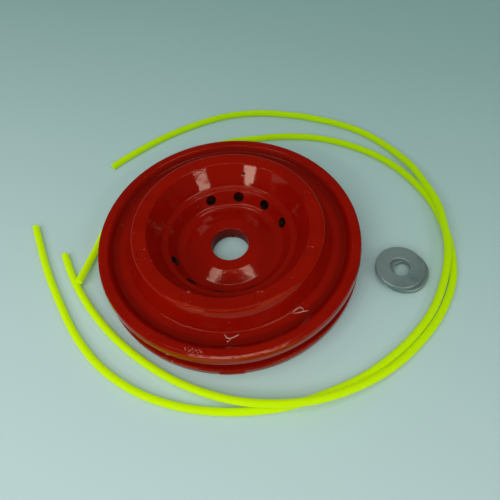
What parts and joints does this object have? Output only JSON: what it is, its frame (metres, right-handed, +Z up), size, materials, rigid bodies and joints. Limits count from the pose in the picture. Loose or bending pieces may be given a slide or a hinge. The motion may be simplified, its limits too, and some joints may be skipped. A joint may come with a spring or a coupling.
{
  "type": "fixed-line trimmer head",
  "caption": "Die-cast round string-trimmer head with a dished bowl, a line groove round its rim, angled line holes, loose nylon cutting lines and stacked clamping washers.",
  "frame": {"origin": "on the axis of the spindle bore, at the hub's lower seat face", "axes": "+Z up along the bore, out of the open bowl; +X to the side on which the washers lie; -Y towards the front"},
  "size_m": [0.2359, 0.1997, 0.0271],
  "materials": {
    "red_paint": "gloss red powder coat over die-cast aluminium",
    "zinc_steel": "dull grey zinc plate with bright worn edges",
    "line_nylon": "satin fluorescent yellow-green nylon"
  },
  "bodies": {
    "head": {"head_casting": "red_paint", "trimmer_line_1": "line_nylon", "trimmer_line_2": "line_nylon"},
    "lower_washer": {"washer_lower": "zinc_steel"},
    "upper_washer": {"washer_upper": "zinc_steel"}
  },
  "joints": [
    {"name": "lower_washer_lift", "type": "slide", "parent": "head", "child": "lower_washer", "axis": [0, 0, 1], "range_m": [0, 0.04]},
    {"name": "upper_washer_lift", "type": "slide", "parent": "lower_washer", "child": "upper_washer", "axis": [0, 0, 1], "range_m": [0, 0.04]}
  ]
}
